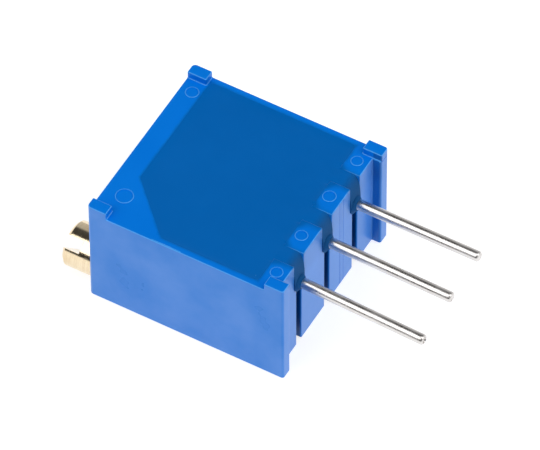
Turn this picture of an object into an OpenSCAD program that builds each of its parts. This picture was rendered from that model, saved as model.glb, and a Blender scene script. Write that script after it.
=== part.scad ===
// Square multi-turn trimmer potentiometer with end adjustment and three in-line
// wire terminals. A brass worm screw turns a nylon wheel, the wheel carries a
// sprung wiper round a resistance track printed on a ceramic plate, and the open
// back of the moulded case is potted. It lies on its front face, potted back up.
// Origin: axis of the centre terminal at the seating plane of the standoffs.
// +X is the way the terminals leave, +Y runs along their row, +Z is the back.

/* [Case] */
// Length from the adjustment end to the standoffs
case_l = 10.03; // [9.5:0.01:13]
// Width along the terminal row
case_w = 9.53; // [9.2:0.01:12]
// Thickness from the front face to the back rim
case_t = 5.78; // [5.5:0.01:8]
// Thickness of the front wall under the wheel
front_wall = 0.62; // [0.4:0.01:0.8]
// Thickness of the band of wall at the adjustment end
end_wall = 1.10; // [1:0.01:1.4]
// Thickness of the wall that the terminals leave through
terminal_wall = 1.03; // [0.8:0.01:1.2]
// Radius of the upright outer edges
edge_r = 0.20; // [0.05:0.01:0.3]
// Radius of the upright edges of the standoff ribs
rib_r = 0.12; // [0.05:0.01:0.12]
// Radius of the corners of the potted recess
recess_r = 0.25; // [0.1:0.01:0.35]
// Length cut off the recess at the corner that roofs the neck of the screw
corner_cut = 2.55; // [2:0.01:2.8]
// Height of the four ears above the back rim
ear_h = 0.39; // [0.1:0.01:0.8]
// Length of each ear
ear_l = 0.98; // [0.5:0.01:2]
// Thickness of each ear
ear_w = 0.58; // [0.3:0.01:1]
// How far the two standoff ribs stand proud of the terminal wall
rib_out = 0.45; // [0.25:0.01:1]
// Thickness of each standoff rib
rib_w = 0.63; // [0.4:0.01:1]
// Depth of the groove under each terminal
groove_d = 0.26; // [0.1:0.01:0.4]
// Width of the groove under each terminal
groove_w = 0.45; // [0.2:0.01:0.7]
// Clearance of each notch beside the wire that lies in it
notch_gap = 0.165; // [0.12:0.005:0.3]

/* [Terminals] */
// Diameter of the tinned wire
wire_d = 0.51; // [0.4:0.01:0.62]
// Spacing of the terminals
pitch = 2.54; // [2:0.01:2.8]
// Length of wire beyond the standoffs
wire_out = 5.92; // [3:0.01:20]
// Height of the terminal axes above the front face
wire_h = 4.22; // [4:0.01:4.6]
// Radius of the bend down into the ceramic, on the wire's centre line
bend_r = 0.40; // [0.35:0.01:0.6]
// Height of the chamfer on the cut end
tip_chamfer = 0.10; // [0.02:0.01:0.2]
// How much each wire is squeezed where the potting locks it
flat_squeeze = 0.11; // [0.08:0.01:0.15]
// Length of the squeezed stretch
flat_l = 0.85; // [0.6:0.01:1]
// Length of the bead of epoxy round each wire beyond the wall
bead_l = 0.24; // [0.15:0.01:0.3]
// Thickness of the bead where it runs out on the wire
bead_t = 0.05; // [0.02:0.01:0.08]
// How far the wire ends below the ceramic
wire_tail = 0.28; // [0.1:0.01:0.35]

/* [Ceramic plate] */
// Thickness of the alumina plate
ceramic_t = 0.635; // [0.5:0.005:0.8]
// Least width of the sealing frame beyond the wheel cavity
seal_rim = 0.10; // [0.05:0.01:0.3]
// Gap between the plate's edge and the case
ceramic_gap = 0.05; // [0.02:0.01:0.15]
// Gap between the wires and the back of the plate
wire_lift = 0.045; // [0.03:0.005:0.1]
// Gap between each wire and its hole
hole_gap = 0.045; // [0.03:0.005:0.1]
// Thickness of the printed films
film_t = 0.03; // [0.02:0.01:0.05]
// Thickness of the sealing frame under the plate
seal_t = 0.06; // [0.04:0.01:0.1]
// Distance of the resistance track's middle inside the wheel's pitch circle
track_inset = 0.65; // [0.5:0.01:0.8]
// Width of the resistance track
track_w = 0.60; // [0.4:0.01:0.7]
// Mean radius of the collector track
collector_r = 1.50; // [1.4:0.01:1.6]
// Width of the collector track
collector_w = 0.50; // [0.3:0.01:0.6]
// Width of the printed links to the terminals
link_w = 0.30; // [0.2:0.01:0.4]
// Angle of the silver pad at each end of the resistance track
pad_sweep = 11; // [6:1:12]
// Width of the printed land round each hole
land_rim = 0.12; // [0.08:0.01:0.15]
// Distance from each land to the wall of the recess
land_inset = 0.23; // [0.15:0.01:0.4]
// Gap between the printed lands and the sides of the trough that they hang in
trough_gap = 0.08; // [0.05:0.01:0.15]
// Height of the solder fillet below each land
solder_h = 0.14; // [0.08:0.01:0.2]
// Setback of the potting below the back rim
potting_drop = 0.08; // [0.02:0.01:0.3]

/* [Adjustment screw] */
// Diameter of the slotted head
head_d = 2.20; // [2:0.01:2.65]
// How far the head stands out of the case
head_out = 1.57; // [1:0.01:3]
// Chamfer round the head
head_chamfer = 0.14; // [0.05:0.01:0.3]
// Width of the driver slot
slot_w = 0.62; // [0.4:0.01:0.8]
// Depth of the driver slot
slot_depth = 0.85; // [0.5:0.01:1.2]
// Direction of the driver slot at mid travel, about +X from +Y
slot_angle = -50; // [-90:1:90]
// Wall left between the bore of the screw and the near side of the case
side_skin = 0.14; // [0.1:0.01:0.5]
// Wall left between the bore of the screw and the front face
front_skin = 0.21; // [0.15:0.01:0.4]
// Running clearance of the screw in the case
screw_gap = 0.03; // [0.02:0.01:0.08]
// Diameter of the neck that the retainer holds
neck_d = 1.10; // [0.9:0.01:1.3]
// Thickness of the retainer
retainer_t = 0.35; // [0.25:0.01:0.4]
// Diameter of the end journal
journal_d = 0.90; // [0.7:0.01:0.95]
// Length of the end journal
journal_l = 1.10; // [0.6:0.01:1.2]
// Diameter of the rubber cord of the shaft seal
seal_cord_d = 0.43; // [0.35:0.01:0.45]
// Distance from the adjustment end to the groove of the seal
seal_inset = 0.45; // [0.3:0.01:0.5]
// Play of the cord along its groove
seal_play = 0.07; // [0.03:0.01:0.1]
// Length of the collar between the neck and the worm
collar_l = 0.35; // [0.2:0.01:0.6]

/* [Worm and wheel] */
// Pitch diameter of the worm
worm_pitch_d = 1.40; // [1.15:0.01:1.7]
// Height of the worm thread above its pitch line
thread_addendum = 0.16; // [0.12:0.01:0.2]
// Height of a wheel tooth above its pitch line
tooth_addendum = 0.13; // [0.1:0.01:0.16]
// Clearance between each crest and the root that it runs in
mesh_gap = 0.10; // [0.07:0.01:0.12]
// Threaded length
worm_l = 4.70; // [3:0.01:5.6]
// Number of teeth on the wheel
teeth = 30; // [25:1:36]
// Radial clearance between the wheel and its cavity
cavity_gap = 0.12; // [0.08:0.01:0.3]
// Case wall beyond the wheel cavity on the far side
far_wall = 0.81; // [0.5:0.01:1.2]
// Share of the pitch that a tooth or thread fills at the pitch line
tooth_share = 0.42; // [0.36:0.01:0.46]
// Flank angle of tooth and thread
flank = 20; // [15:1:25]

/* [Wiper carrier] */
// Diameter of the pivot post in the case
pivot_d = 1.50; // [1.2:0.01:1.6]
// Radial running clearance on the pivot
pivot_gap = 0.04; // [0.02:0.01:0.08]
// Thickness of the wheel's ring from its bore to the roots of its teeth
ring_w = 1.10; // [0.9:0.01:1.2]
// Clearance between the hub and the wheel
hub_gap = 0.03; // [0.02:0.01:0.06]
// Radius of the clutch notches in the wheel's bore
notch_r = 0.16; // [0.14:0.01:0.2]
// Clearance of the carrier's clutch bumps in those notches
clutch_gap = 0.03; // [0.02:0.01:0.06]
// Distance of the deck's edge inside the wheel's pitch circle
deck_inset = 0.40; // [0.3:0.01:0.5]
// Thickness of the carrier's deck
deck_t = 0.30; // [0.25:0.01:0.4]
// Height of the boss above the deck
boss_h = 0.27; // [0.15:0.01:0.4]
// Wall of the boss round the pivot
boss_wall = 0.21; // [0.15:0.01:0.3]
// Radius from the pivot to the stakes that hold the wiper
stake_r = 1.65; // [1.45:0.01:1.85]
// Diameter of each stake
stake_d = 0.30; // [0.2:0.01:0.36]
// Angle that the carrier turns to each side of mid travel
travel = 150; // [120:1:150]
// Wall of the hub between its bore and the slot of the stop peg
stop_wall = 0.23; // [0.12:0.01:0.26]
// Clearance of the stop peg in its slot
stop_gap = 0.06; // [0.04:0.01:0.08]
// Diameter of the stop peg
stop_d = 0.44; // [0.3:0.01:0.5]
// Height of the stop peg
stop_h = 0.42; // [0.3:0.01:0.5]
// Thickness of the wiper's spring sheet
spring_t = 0.10; // [0.06:0.01:0.12]
// Width of each wiper finger
finger_w = 0.09; // [0.06:0.01:0.1]
// Spacing of the wiper fingers
finger_pitch = 0.14; // [0.12:0.01:0.16]
// Length of the wiper fingers
finger_l = 1.25; // [1:0.01:1.5]
// Height that the fingers rise from the deck to the tracks
finger_rise = 0.86; // [0.7:0.01:1]
// Gap between the finger tips and the films that they slide on
contact_gap = 0.015; // [0.01:0.005:0.03]
// Width of the margin of spring sheet round the stakes
sheet_rim = 0.30; // [0.2:0.01:0.4]
// Width of the bar of spring sheet that carries the fingers
root_w = 0.22; // [0.15:0.01:0.3]

/* [Hidden] */
$fn = 64;
// a little extra that carries a cut through a face
cut = 0.1;
// clearance between stationary faces that must not touch
fit = 0.02;
// clearance between a turning part and what it turns beside
run_gap = 0.03;
// overlap of two bodies that are one
weld = 0.05;

// wires, with their notches and lands
notch_w = wire_d + 2 * notch_gap;
flat_w = wire_d + flat_squeeze;
flat_t = wire_d - flat_squeeze;
land_r = wire_d / 2 + hole_gap + land_rim;

// places along X
end_x = -case_l;
wall_x = -rib_out;
recess_x0 = end_x + end_wall;
recess_x1 = wall_x - terminal_wall;
wheel_x = (recess_x0 + recess_x1) / 2;
wire_x = recess_x1 - land_r - land_inset;
root_x = wall_x + bead_l;
flat_x0 = root_x - flat_l;

// worm and wheel: the wheel fills the room between the worm and the far wall
worm_d = worm_pitch_d + 2 * thread_addendum;
worm_root_d = worm_pitch_d - 2 * (tooth_addendum + mesh_gap);
wheel_dedendum = thread_addendum + mesh_gap;
bore_r = head_d / 2 + screw_gap;
channel_r = worm_d / 2 + screw_gap + run_gap;
screw_inset = bore_r + side_skin;
room_y = case_w - screw_inset - worm_pitch_d / 2 - far_wall - cavity_gap - tooth_addendum;
room_x = recess_x1 - recess_x0 - 2 * (cavity_gap + tooth_addendum + seal_rim);
wheel_r = min(room_x, room_y) / 2;
cavity_r = wheel_r + tooth_addendum + cavity_gap;
lead = 2 * PI * wheel_r / teeth;
lead_angle = atan(lead / (PI * worm_pitch_d));
tooth_w = tooth_share * lead;
plain_turns = 0.6;
thread_turns = worm_l / lead - plain_turns;

// places along Y
side_y = case_w / 2;
screw_y = screw_inset - side_y;
wheel_y = screw_y + wheel_r + worm_pitch_d / 2;
side_wall = screw_inset - channel_r;

// levels along Z, up from the front face
face_z = -wire_h;
top_z = face_z + case_t;
screw_z = face_z + bore_r + front_skin;
floor_z = face_z + front_wall;
ceramic_top = -wire_d / 2 - wire_lift;
ceramic_z = ceramic_top - ceramic_t;
ledge_z = ceramic_z - seal_t;
potting_z = top_z - potting_drop;
rotor_z = floor_z + run_gap;
contact_z = ceramic_z - film_t - contact_gap;
spring_z = contact_z - finger_rise;
deck_z = spring_z - deck_t;
rim_h = deck_z - hub_gap - rotor_z;
trough_z = ceramic_z - wire_tail - trough_gap;

// screw stations along X
neck_inset = 0.10;
worm_room = 0.30;
end_play = 0.15;
groove_x = end_x + seal_inset;
seal_groove_w = seal_cord_d + seal_play;
seal_groove_d = 2 * (bore_r - seal_cord_d - fit);
neck_x = recess_x0 + neck_inset;
slot_x0 = neck_x + weld;
slot_x1 = slot_x0 + retainer_t + 2 * fit;
slot_y1 = side_wall - side_y + corner_cut + 2 * channel_r;
neck_l = slot_x1 + weld - neck_x;
worm_x0 = wheel_x - worm_l / 2;
worm_x1 = wheel_x + worm_l / 2;

// radii about the pivot
hub_r = wheel_r - wheel_dedendum - ring_w - hub_gap;
bore_of_hub = pivot_d / 2 + pivot_gap;
boss_r = bore_of_hub + boss_wall;
stop_r = bore_of_hub + stop_wall + stop_gap + stop_d / 2;
deck_r = wheel_r - deck_inset;
track_r = wheel_r - track_inset;
sheet_r = stake_r + stake_d / 2 + sheet_rim;

// angles about the pivot, measured from the terminal side, with a little over-travel
over = 2;
track_end = 180 - travel - over;
stop_half = 180 - travel - asin(stop_d / 2 / stop_r) - over;

case_blue = [0.05, 0.38, 0.78];
potting_blue = [0.02, 0.30, 0.62];
tin = [0.80, 0.81, 0.82];
brass = [0.82, 0.66, 0.36];

// A rectangle with round corners, from one corner to the other.
module round_rect(x0, y0, x1, y1, r) {
    translate([x0 + r, y0]) square([x1 - x0 - 2 * r, y1 - y0]);
    translate([x0, y0 + r]) square([x1 - x0, y1 - y0 - 2 * r]);
    for (x = [x0 + r, x1 - r], y = [y0 + r, y1 - r]) translate([x, y]) circle(r = r);
}

// A box given by its lowest and highest corners.
module span(a, b) {
    translate(a) cube(b - a);
}

// A cylinder along +X.
module bar(x, y, z, r, l) {
    translate([x, y, z]) rotate([0, 90, 0]) cylinder(r = r, h = l);
}

// Something turned about the wheel's axis.
module at_wheel(z) {
    translate([wheel_x, wheel_y, z]) children();
}

// A flat ring sector of rectangular section, its angles from the terminal side.
module sector(r, w, t, from, sweep) {
    rotate([0, 0, from]) rotate_extrude(angle = sweep)
        translate([r - w / 2, 0]) square([w, t]);
}

// Plan of the case with its two standoff ribs.
module case_plan() {
    round_rect(end_x, -side_y, wall_x, side_y, edge_r);
    for (s = [-1, 1]) {
        y = s * (side_y - rib_w / 2);
        round_rect(wall_x - edge_r, y - rib_w / 2, 0, y + rib_w / 2, rib_r);
    }
    for (s = [-1, 1]) {
        y = s * (side_y - edge_r);
        translate([wall_x - edge_r, y - edge_r]) square(2 * edge_r);
    }
}

// Plan of the recess that the ceramic and the potting fill, one corner cut off.
module recess_plan(gap = 0) {
    x0 = recess_x0 + gap;
    y0 = -side_y + side_wall + gap;
    leg = corner_cut - gap * (2 - sqrt(2)) + cut;
    difference() {
        round_rect(x0, y0, recess_x1 - gap, side_y - side_wall - gap, recess_r);
        polygon([[x0 - cut, y0 - cut], [x0 + leg, y0 - cut], [x0 - cut, y0 + leg]]);
    }
}

// Plan of the trough in the ledge that the wire tails and printed pads hang in.
module trough_plan() {
    x0 = wheel_x + 0.4 * cavity_r;
    y1 = pitch + land_r + trough_gap;
    translate([x0, -y1]) square([wire_x + land_r + trough_gap - x0, 2 * y1]);
}

// What the sealant leaves free: wheel cavity, trough, retainer slot and worm channel.
module works_plan() {
    translate([wheel_x, wheel_y]) circle(r = cavity_r);
    trough_plan();
    translate([slot_x0, screw_y - channel_r])
        square([worm_x1 + worm_room - slot_x0, 2 * channel_r]);
    translate([slot_x0, screw_y]) square([wheel_x - slot_x0, slot_y1 - screw_y]);
}

// Notch round one terminal: round under the wire, open to the back.
module notch(y, x0, x1) {
    bar(x0, y, 0, notch_w / 2, x1 - x0);
    span([x0, y - notch_w / 2, 0], [x1, y + notch_w / 2, top_z + cut]);
}

// Moulded case: walls, ears, standoffs, pivot post, stop peg and screw bearings.
module housing() {
    color(case_blue) {
        difference() {
            union() {
                translate([0, 0, face_z]) linear_extrude(case_t) case_plan();
                intersection() {
                    translate([0, 0, face_z]) linear_extrude(case_t + ear_h) case_plan();
                    for (x = [end_x, -ear_l], y = [-side_y, side_y - ear_w])
                        span([x, y, top_z - weld], [x + ear_l, y + ear_w, top_z + ear_h]);
                }
            }
            translate([0, 0, ledge_z]) linear_extrude(case_t) recess_plan();
            at_wheel(floor_z) cylinder(r = cavity_r, h = case_t);
            translate([0, 0, trough_z]) linear_extrude(case_t) trough_plan();
            worm_channel();
            bar(end_x - cut, screw_y, screw_z, bore_r, slot_x0 - end_x + cut);
            bar(slot_x0, screw_y, screw_z, channel_r, worm_x0 - slot_x0);
            bar(worm_x1, screw_y, screw_z, journal_d / 2 + screw_gap, journal_l + end_play);
            for (i = [-1, 0, 1]) {
                notch(i * pitch, recess_x1 - recess_r, wall_x + cut);
                span([wall_x - groove_d, i * pitch - groove_w / 2, face_z - cut],
                     [wall_x + cut, i * pitch + groove_w / 2, 0]);
            }
        }
        at_wheel(floor_z - cut)
            cylinder(d = pivot_d, h = spring_z + boss_h - cut - floor_z + cut);
        at_wheel(floor_z - cut) translate([stop_r, 0, 0])
            cylinder(d = stop_d, h = stop_h + cut);
    }
}

// The channel for the worm, open to the ledge, and the slot for the retainer, which
// drops in beyond the roofed corner and slides under it.
module worm_channel() {
    r = channel_r;
    bar(worm_x0 - worm_room, screw_y, screw_z, r, worm_l + 2 * worm_room);
    span([slot_x0, screw_y - r, screw_z],
         [worm_x1 + worm_room, screw_y + r, ledge_z + fit]);
    span([slot_x0, screw_y - r, screw_z - r], [slot_x1, slot_y1, ledge_z + fit]);
}

// Epoxy that fills the back of the case and the notches round the terminals.
module potting_compound() {
    color(potting_blue) difference() {
        union() {
            translate([0, 0, ceramic_top]) linear_extrude(potting_z - ceramic_top)
                recess_plan();
            for (i = [-1, 0, 1]) potting_plug(i * pitch);
        }
        for (i = [-1, 0, 1]) {
            wire_solid(i * pitch);
            solder_body(i * pitch);
        }
    }
}

// One plug of epoxy: it slopes down through the notch and beads round the wire.
module potting_plug(y) {
    drop = 0.35 * (potting_z - wire_d / 2);
    difference() {
        intersection() {
            notch(y, recess_x1 - weld, wall_x);
            span([recess_x1 - weld, y - notch_w, ceramic_top],
                 [wall_x, y + notch_w, potting_z]);
        }
        translate([0, y + notch_w, 0]) rotate([90, 0, 0]) linear_extrude(2 * notch_w)
            polygon([[recess_x1, potting_z], [wall_x + cut, potting_z - drop],
                     [wall_x + cut, potting_z + cut], [recess_x1, potting_z + cut]]);
    }
    translate([wall_x, y, 0]) rotate([0, 90, 0])
        cylinder(r1 = notch_w / 2, r2 = wire_d / 2 + bead_t, h = bead_l);
}

// Alumina plate that carries the printed tracks on its underside.
module ceramic_plate() {
    color([0.93, 0.92, 0.88]) difference() {
        translate([0, 0, ceramic_z]) linear_extrude(ceramic_t) recess_plan(ceramic_gap);
        for (i = [-1, 0, 1]) translate([wire_x, i * pitch, ceramic_z - cut])
            cylinder(r = wire_d / 2 + hole_gap, h = ceramic_t + 2 * cut);
    }
}

// Frame of sealant between the ledge of the case and the plate.
module sealing_frame() {
    color([0.75, 0.73, 0.66]) translate([0, 0, ledge_z]) linear_extrude(seal_t)
        difference() {
            recess_plan(ceramic_gap);
            works_plan();
        }
}

// Horseshoe of cermet ink that the resistance fingers run on.
module resistance_track() {
    color([0.12, 0.12, 0.13]) at_wheel(ceramic_z - film_t)
        sector(track_r, track_w, film_t, track_end, 360 - 2 * track_end);
}

// Silver ring under the inner fingers, with its link to the centre terminal.
module collector_track() {
    color([0.86, 0.86, 0.84]) difference() {
        union() {
            at_wheel(ceramic_z - film_t)
                cylinder(r = collector_r + collector_w / 2, h = film_t);
            link([wheel_x, wheel_y], [wire_x, 0]);
            land(0);
        }
        at_wheel(ceramic_z - film_t - cut)
            cylinder(r = collector_r - collector_w / 2, h = film_t + 2 * cut);
        land_hole(0);
    }
}

// Straight printed link between two points on the plate.
module link(a, b) {
    run = b - a;
    translate([a.x, a.y, ceramic_z - film_t]) rotate([0, 0, atan2(run.y, run.x)])
        translate([0, -link_w / 2, 0]) cube([norm(run), link_w, film_t]);
}

// Round land of silver film at a terminal, and the wire's way through it.
module land(y) {
    translate([wire_x, y, ceramic_z - film_t]) cylinder(r = land_r, h = film_t);
}

module land_hole(y) {
    translate([wire_x, y, ceramic_z - film_t - cut])
        cylinder(r = wire_d / 2 + hole_gap, h = film_t + 2 * cut);
}

// Silver pad from one end of the track to its terminal.
module end_pad(y, side) {
    z = ceramic_z - film_t;
    a = side * track_end;
    start = side * (track_end - pad_sweep * 0.7);
    tip = [wheel_x + track_r * cos(start), wheel_y + track_r * sin(start)];
    color([0.86, 0.86, 0.84]) difference() {
        union() {
            at_wheel(z)
                sector(track_r, track_w, film_t, side > 0 ? a - pad_sweep : a, pad_sweep);
            land(y);
            link(tip, [wire_x, y]);
        }
        at_wheel(z - cut)
            sector(track_r, track_w + cut, film_t + 2 * cut, side > 0 ? a : a - 60, 60);
        land_hole(y);
    }
}

module end_pad_1() end_pad(-pitch, -1);
module end_pad_3() end_pad(pitch, 1);

// Tinned wire: cut end, straight lead, flattened lock, bend and tail in the plate.
module wire_solid(y) {
    r = wire_d / 2;
    bend_x = wire_x + bend_r;
    translate([0, y, 0]) {
        bar(root_x, 0, 0, r, wire_out - tip_chamfer - root_x);
        translate([wire_out - tip_chamfer, 0, 0]) rotate([0, 90, 0])
            cylinder(r1 = r, r2 = r - tip_chamfer, h = tip_chamfer);
        span([flat_x0, -flat_w / 2, -flat_t / 2], [root_x, flat_w / 2, flat_t / 2]);
        bar(bend_x, 0, 0, r, flat_x0 - bend_x);
        translate([bend_x, 0, -bend_r]) rotate([90, 0, 0]) rotate([0, 0, 90])
            rotate_extrude(angle = 90) translate([bend_r, 0]) circle(r = r);
        translate([wire_x, 0, ceramic_z - wire_tail])
            cylinder(r = r, h = wire_tail - ceramic_z - bend_r);
    }
}

module terminal_1() color(tin) wire_solid(-pitch);
module terminal_2() color(tin) wire_solid(0);
module terminal_3() color(tin) wire_solid(pitch);

// Outer form of a solder joint: it fills the hole and spreads on the land below.
module solder_body(y) {
    r = wire_d / 2;
    low = ceramic_z - film_t;
    high = ceramic_top - 2 * fit;
    translate([wire_x, y, 0]) rotate_extrude() polygon([
        [0, low - solder_h - fit], [r + 2 * fit, low - solder_h], [land_r - fit, low],
        [r + hole_gap, low], [r + hole_gap, high], [0, high]]);
}

module solder_joint(y) {
    color(tin) difference() {
        solder_body(y);
        translate([wire_x, y, ceramic_z - 1]) cylinder(d = wire_d, h = 1 + ceramic_t);
    }
}

module solder_joint_1() solder_joint(-pitch);
module solder_joint_2() solder_joint(0);
module solder_joint_3() solder_joint(pitch);

// Half section of the thread at its pitch line, and the taper of its two ends.
function thread_half(r) = tooth_w / 2 - (r - worm_pitch_d / 2) * tan(flank);
function run_out(t) = max(0.05, min(1, 2 * t, 2 * (thread_turns - t)));

// One closed helical ridge, a trapezoid swept about +X, right handed.
module worm_thread() {
    steps = 24;
    count = ceil(thread_turns * steps);
    core = worm_root_d / 2 - weld;
    phase = thread_turns / 2;
    rings = [for (k = [0:count])
        let (t = k / steps, a = 360 * (t - phase),
             tip = worm_root_d / 2 + (worm_d - worm_root_d) / 2 * run_out(t),
             x = (t - phase) * lead)
        for (c = [[core, -1], [tip, -1], [tip, 1], [core, 1]])
            [x + c[1] * thread_half(c[0]), c[0] * cos(a), c[0] * sin(a)]];
    sides = [for (k = [0:count - 1], j = [0:3])
        let (n = (j + 1) % 4)
        [4 * k + j, 4 * k + n, 4 * (k + 1) + n, 4 * (k + 1) + j]];
    translate([wheel_x, screw_y, screw_z]) polyhedron(
        points = rings,
        faces = concat([[3, 2, 1, 0]], sides,
                       [[4 * count, 4 * count + 1, 4 * count + 2, 4 * count + 3]]),
        convexity = 10);
}

// Brass screw: slotted head, seal groove, neck, worm and end journal in one piece.
module adjustment_screw() {
    r = head_d / 2;
    x0 = end_x - head_out;
    color(brass) {
        difference() {
            union() {
                translate([x0, screw_y, screw_z]) rotate([0, 90, 0])
                    cylinder(r1 = r - head_chamfer, r2 = r, h = head_chamfer);
                bar(x0 + head_chamfer, screw_y, screw_z, r,
                    neck_x - x0 - head_chamfer);
            }
            translate([groove_x, screw_y, screw_z]) rotate([0, 90, 0]) difference() {
                cylinder(r = r + cut, h = seal_groove_w);
                translate([0, 0, -cut]) cylinder(d = seal_groove_d, h = seal_groove_w + 2 * cut);
            }
            translate([x0, screw_y, screw_z]) rotate([slot_angle, 0, 0])
                span([-cut, -head_d, -slot_w / 2], [slot_depth, head_d, slot_w / 2]);
        }
        bar(neck_x - cut, screw_y, screw_z, neck_d / 2, neck_l + 2 * cut);
        bar(neck_x + neck_l, screw_y, screw_z, worm_d / 2, collar_l);
        bar(neck_x + neck_l, screw_y, screw_z, worm_root_d / 2, worm_x1 - neck_x - neck_l);
        bar(worm_x1 - cut, screw_y, screw_z, journal_d / 2, journal_l + cut);
        worm_thread();
    }
}

// Rubber ring in the groove of the screw, a hair clear of the bore.
module shaft_seal() {
    mid = (seal_groove_d / 2 + bore_r) / 2;
    color([0.75, 0.28, 0.10])
        translate([groove_x + seal_groove_w / 2, screw_y, screw_z]) rotate([0, 90, 0])
            rotate_extrude() translate([mid, 0]) circle(d = seal_cord_d);
}

// Forked plate slid sideways under the roofed corner, astride the neck of the screw.
module screw_retainer() {
    r = channel_r - fit;
    x0 = slot_x0 + fit;
    color([0.72, 0.73, 0.74]) difference() {
        span([x0, screw_y - r, screw_z - r + 2 * fit],
             [x0 + retainer_t, screw_y + r, ledge_z - fit]);
        bar(x0 - cut, screw_y, screw_z, neck_d / 2 + screw_gap, retainer_t + 2 * cut);
        span([x0 - cut, screw_y - 2 * r, screw_z - neck_d / 2 - screw_gap],
             [x0 + retainer_t + cut, screw_y, screw_z + neck_d / 2 + screw_gap]);
    }
}

// One tooth of the wheel, pointing along +X, leaning by the lead angle.
module tooth() {
    root = wheel_r - wheel_dedendum;
    tip = wheel_r + tooth_addendum + cut;
    half_root = tooth_w / 2 + wheel_dedendum * tan(flank);
    half_tip = tooth_w / 2 - (tip - wheel_r) * tan(flank);
    inner = root - weld - cut;
    rotate([-lead_angle, 0, 0]) translate([0, 0, -rim_h]) linear_extrude(2 * rim_h)
        polygon([[inner, -half_root], [root, -half_root], [tip, -half_tip],
                 [tip, half_tip], [root, half_root], [inner, half_root]]);
}

// Nylon ring gear: outside it meshes with the worm, inside it holds the clutch.
module worm_wheel() {
    mesh_h = screw_z - rotor_z;
    color([0.90, 0.88, 0.80]) at_wheel(rotor_z) difference() {
        union() {
            cylinder(r = wheel_r - wheel_dedendum, h = rim_h, $fn = 128);
            intersection() {
                translate([0, 0, mesh_h]) for (i = [0:teeth - 1])
                    rotate([0, 0, -90 + (i + 0.5) * 360 / teeth]) tooth();
                cylinder(r = wheel_r + tooth_addendum, h = rim_h, $fn = 128);
            }
        }
        translate([0, 0, -cut]) cylinder(r = hub_r + hub_gap, h = rim_h + 2 * cut);
        for (a = [0:30:330]) rotate([0, 0, a]) translate([hub_r + hub_gap, 0, -cut])
            cylinder(r = notch_r, h = rim_h + 2 * cut);
    }
}

// The stakes that rivet the wiper to the carrier, clear of its fingers.
module at_stakes() {
    for (a = [0, 80, -80]) rotate([0, 0, a]) translate([stake_r, 0, 0]) children();
}

// Nylon carrier: hub with clutch bumps inside the wheel, deck and boss above it.
module wiper_carrier() {
    deck_top = rim_h + hub_gap + deck_t;
    color([0.16, 0.16, 0.17]) at_wheel(rotor_z) difference() {
        union() {
            cylinder(r = hub_r, h = deck_top);
            for (a = [0:90:270]) rotate([0, 0, a]) translate([hub_r + hub_gap, 0, 0])
                cylinder(r = notch_r - clutch_gap, h = rim_h);
            translate([0, 0, rim_h + hub_gap]) cylinder(r = deck_r, h = deck_t);
            cylinder(r = boss_r, h = deck_top + boss_h);
            translate([0, 0, rim_h + hub_gap]) at_stakes()
                cylinder(d = stake_d, h = deck_t + spring_t + 0.08);
        }
        translate([0, 0, -cut])
            cylinder(r = bore_of_hub, h = case_t);
        translate([0, 0, -cut])
            sector(stop_r, stop_d + 2 * stop_gap, stop_h + stop_gap + cut,
                   stop_half - 180, 360 - 2 * stop_half);
    }
}

// One finger: it rises from the sheet to the track and curls over at the tip.
module finger(x) {
    rise = contact_z - spring_z;
    translate([x + finger_w / 2, 0, 0]) rotate([0, -90, 0]) linear_extrude(finger_w)
        polygon([[0, finger_l + root_w - fit], [0, finger_l], [rise - 0.07, 0.10],
                 [rise - 0.14, -0.12], [rise - 0.08, -0.16], [rise, 0.02],
                 [rise - 0.02, 0.12], [spring_t, finger_l + 0.04],
                 [spring_t, finger_l + root_w - fit]]);
}

// Spring sheet staked to the carrier, with a rake of fingers for each track.
module wiper_contact() {
    color([0.85, 0.72, 0.42]) at_wheel(spring_z) {
        difference() {
            union() {
                cylinder(r = sheet_r, h = spring_t);
                span([-track_r - 2 * finger_pitch, finger_l, 0],
                     [-boss_r, finger_l + root_w, spring_t]);
            }
            translate([0, 0, -cut]) cylinder(r = boss_r + fit, h = spring_t + 2 * cut);
            span([-sheet_r - cut, -sheet_r, -cut],
                 [-boss_r - cut, finger_l, spring_t + cut]);
            translate([0, 0, -cut]) at_stakes()
                cylinder(d = stake_d + 2 * fit, h = spring_t + 2 * cut);
        }
        for (k = [-1.5:1.5]) finger(-track_r + k * finger_pitch);
        for (k = [-1:1]) finger(-collector_r + k * finger_pitch);
    }
}

housing();
potting_compound();
ceramic_plate();
sealing_frame();
resistance_track();
collector_track();
end_pad_1();
end_pad_3();
terminal_1();
terminal_2();
terminal_3();
solder_joint_1();
solder_joint_2();
solder_joint_3();
adjustment_screw();
shaft_seal();
screw_retainer();
worm_wheel();
wiper_carrier();
wiper_contact();
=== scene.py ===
import math
import random

import bmesh
import bpy
from mathutils import Matrix, Vector, noise


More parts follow.
